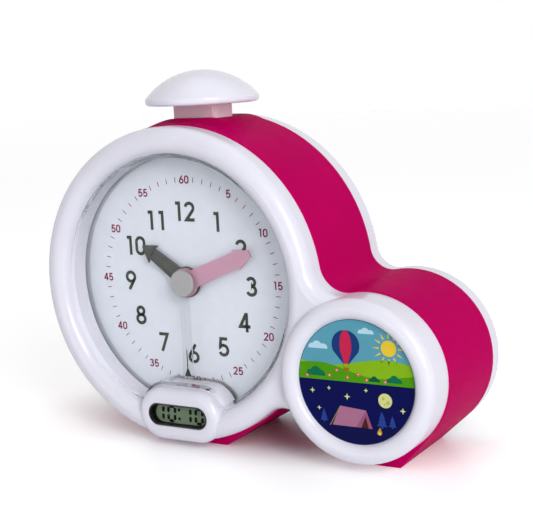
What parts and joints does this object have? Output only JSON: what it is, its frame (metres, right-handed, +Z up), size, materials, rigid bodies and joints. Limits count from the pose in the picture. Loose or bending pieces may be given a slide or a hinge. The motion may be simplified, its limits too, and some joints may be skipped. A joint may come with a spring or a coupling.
{
  "type": "alarm clock",
  "caption": "Children's alarm clock in a figure-eight case: round dial with a small display, snooze button on top and a round picture night light beside it.",
  "frame": {"origin": "bottom centre of the whole clock's bounding box, on the surface it stands on", "axes": "+X to the right seen from the front, along the longest side; +Y from the dial to the back; +Z up"},
  "size_m": [0.2054, 0.073, 0.1708],
  "materials": {
    "white_plastic": "glossy white moulded plastic",
    "band_plastic": "satin magenta moulded plastic",
    "inner_white": "plain white moulded plastic, inside",
    "clear_plastic": "clear moulded plastic",
    "dial_print": "pale printed card-like plastic",
    "hour_plastic": "dark grey plastic",
    "minute_plastic": "pink translucent plastic",
    "cap_plastic": "light grey plastic",
    "picture_film": "translucent printed plastic",
    "black_plastic": "black moulded plastic",
    "lcd_glass": "display glass with its polarisers",
    "backlight": "light guide",
    "rubber": "conductive rubber strips",
    "board": "green circuit board",
    "chip": "moulded components",
    "led_warm": "clear lamp lens, day",
    "led_amber": "amber lamp lens, night",
    "gear_plastic": "natural acetal",
    "copper": "enamelled copper winding",
    "soft_iron": "soft iron laminations",
    "magnet": "sintered magnet with its pinion",
    "brass": "brass",
    "steel": "zinc-plated steel",
    "spring_steel": "bright spring steel",
    "cell": "sleeved cells",
    "foam": "foam ring",
    "speaker": "loudspeaker basket and cone"
  },
  "bodies": {
    "clock": {"front_bezel": "white_plastic", "clock_lens": "clear_plastic", "dial_plate": "dial_print", "dial_carrier": "inner_white", "dial_nut": "brass", "movement_front": "black_plastic", "movement_back": "black_plastic", "coil": "copper", "stator": "soft_iron", "lcd_shroud": "black_plastic", "lcd_window": "clear_plastic", "lcd_glass": "lcd_glass", "lcd_backlight": "backlight", "lcd_strips": "rubber", "lcd_board": "board", "picture_disc": "picture_film", "light_box": "inner_white", "light_board": "board", "day_leds": "led_warm", "night_leds": "led_amber", "mid_housing": "band_plastic", "button_bracket": "inner_white", "button_switch": "chip", "rear_cover": "white_plastic", "battery_cells": "cell", "battery_springs": "spring_steel", "battery_plates": "steel", "key_switches": "chip", "main_board": "board", "main_chips": "chip", "slide_switches": "steel", "power_jack": "black_plastic", "speaker": "speaker", "speaker_gasket": "foam", "long_screws": "steel", "short_screws": "steel", "small_screws": "steel"},
    "second": {"seconds_wheel": "gear_plastic", "second_hand": "clear_plastic", "centre_cap": "cap_plastic"},
    "minute": {"centre_wheel": "gear_plastic", "minute_hand": "minute_plastic"},
    "hour": {"hour_wheel": "gear_plastic", "hour_hand": "hour_plastic"},
    "minute_wheel": {"minute_wheel": "gear_plastic"},
    "third": {"third_wheel": "gear_plastic"},
    "intermediate": {"intermediate_wheel": "gear_plastic"},
    "rotor": {"rotor": "magnet"},
    "setter": {"set_wheel": "gear_plastic", "set_knob": "white_plastic"},
    "button": {"button_cap": "white_plastic", "button_stem": "white_plastic", "button_spring": "spring_steel"},
    "mode_key": {"mode_key": "white_plastic"},
    "set_key": {"set_key": "white_plastic"},
    "down_key": {"down_key": "white_plastic"},
    "up_key": {"up_key": "white_plastic"},
    "alarm_slider": {"alarm_slider": "black_plastic"},
    "light_slider": {"light_slider": "black_plastic"},
    "door": {"battery_door": "white_plastic"}
  },
  "joints": [
    {"name": "second_spin", "type": "hinge", "parent": "clock", "child": "second", "pos_m": [-0.02836, -0.0195, 0.0748], "axis": [0, 1, 0], "continuous": true},
    {"name": "minute_spin", "type": "hinge", "parent": "clock", "child": "minute", "pos_m": [-0.02836, -0.0195, 0.0748], "axis": [0, 1, 0], "continuous": true},
    {"name": "hour_spin", "type": "hinge", "parent": "clock", "child": "hour", "pos_m": [-0.02836, -0.0195, 0.0748], "axis": [0, 1, 0], "continuous": true},
    {"name": "minute_wheel_spin", "type": "hinge", "parent": "clock", "child": "minute_wheel", "pos_m": [-0.02836, -0.0195, 0.0868], "axis": [0, 1, 0], "continuous": true},
    {"name": "third_spin", "type": "hinge", "parent": "clock", "child": "third", "pos_m": [-0.01457, -0.0195, 0.07723], "axis": [0, 1, 0], "continuous": true},
    {"name": "intermediate_spin", "type": "hinge", "parent": "clock", "child": "intermediate", "pos_m": [-0.04151, -0.0195, 0.07001], "axis": [0, 1, 0], "continuous": true},
    {"name": "rotor_spin", "type": "hinge", "parent": "clock", "child": "rotor", "pos_m": [-0.04616, -0.0195, 0.05723], "axis": [0, 1, 0], "continuous": true},
    {"name": "set_spin", "type": "hinge", "parent": "clock", "child": "setter", "pos_m": [-0.02836, -0.0195, 0.0988], "axis": [0, 1, 0], "continuous": true},
    {"name": "button_press", "type": "slide", "parent": "clock", "child": "button", "axis": [0, 0, -1], "range_m": [0, 0.003], "stiffness_N_per_m": 400, "springref_m": -0.003, "deforming": ["button_spring"]},
    {"name": "mode_key_press", "type": "slide", "parent": "clock", "child": "mode_key", "axis": [0, -1, 0], "range_m": [0, 0.0006], "stiffness_N_per_m": 600, "springref_m": -0.0005},
    {"name": "set_key_press", "type": "slide", "parent": "clock", "child": "set_key", "axis": [0, -1, 0], "range_m": [0, 0.0006], "stiffness_N_per_m": 600, "springref_m": -0.0005},
    {"name": "down_key_press", "type": "slide", "parent": "clock", "child": "down_key", "axis": [0, -1, 0], "range_m": [0, 0.0006], "stiffness_N_per_m": 600, "springref_m": -0.0005},
    {"name": "up_key_press", "type": "slide", "parent": "clock", "child": "up_key", "axis": [0, -1, 0], "range_m": [0, 0.0006], "stiffness_N_per_m": 600, "springref_m": -0.0005},
    {"name": "alarm_slider_move", "type": "slide", "parent": "clock", "child": "alarm_slider", "axis": [0, 0, 1], "range_m": [0, 0.004]},
    {"name": "light_slider_move", "type": "slide", "parent": "clock", "child": "light_slider", "axis": [0, 0, 1], "range_m": [0, 0.004]},
    {"name": "door_lift", "type": "slide", "parent": "clock", "child": "door", "axis": [0, 1, 0], "range_m": [0, 0.025]}
  ],
  "couplings": [
    {"joint": "third_spin", "follows": "second_spin", "ratio": -0.13333},
    {"joint": "minute_spin", "follows": "second_spin", "ratio": 0.016667},
    {"joint": "intermediate_spin", "follows": "second_spin", "ratio": -4},
    {"joint": "minute_wheel_spin", "follows": "second_spin", "ratio": -0.0055556},
    {"joint": "hour_spin", "follows": "second_spin", "ratio": 0.0013889},
    {"joint": "set_spin", "follows": "second_spin", "ratio": 0.016667},
    {"joint": "rotor_spin", "follows": "second_spin", "ratio": 30}
  ]
}
